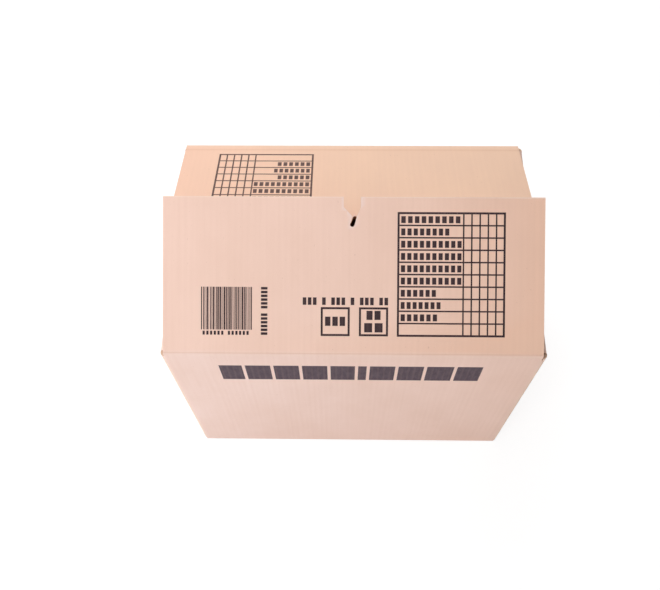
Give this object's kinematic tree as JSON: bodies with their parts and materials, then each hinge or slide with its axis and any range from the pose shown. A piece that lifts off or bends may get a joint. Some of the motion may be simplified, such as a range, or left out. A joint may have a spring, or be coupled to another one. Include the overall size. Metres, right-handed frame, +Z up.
{
  "type": "moving box",
  "caption": "Corrugated cardboard moving box with its two long top flaps folded over each other, part open.",
  "frame": {"origin": "middle of the bottom, on the ground", "axes": "+X along the box's long side, +Y from the front wall to the rear wall, +Z up; the hinged flap is on the front wall"},
  "size_m": [0.488, 0.328, 0.4693],
  "materials": {
    "board": "matte"
  },
  "bodies": {
    "carton": {"box_shell": "board"},
    "long_flap": {"front_flap": "board"}
  },
  "joints": [
    {"name": "front_flap_fold", "type": "hinge", "parent": "carton", "child": "long_flap", "pos_m": [0, -0.164, 0.376], "axis": [1, 0, 0], "range_deg": [-3, 236.4]}
  ]
}
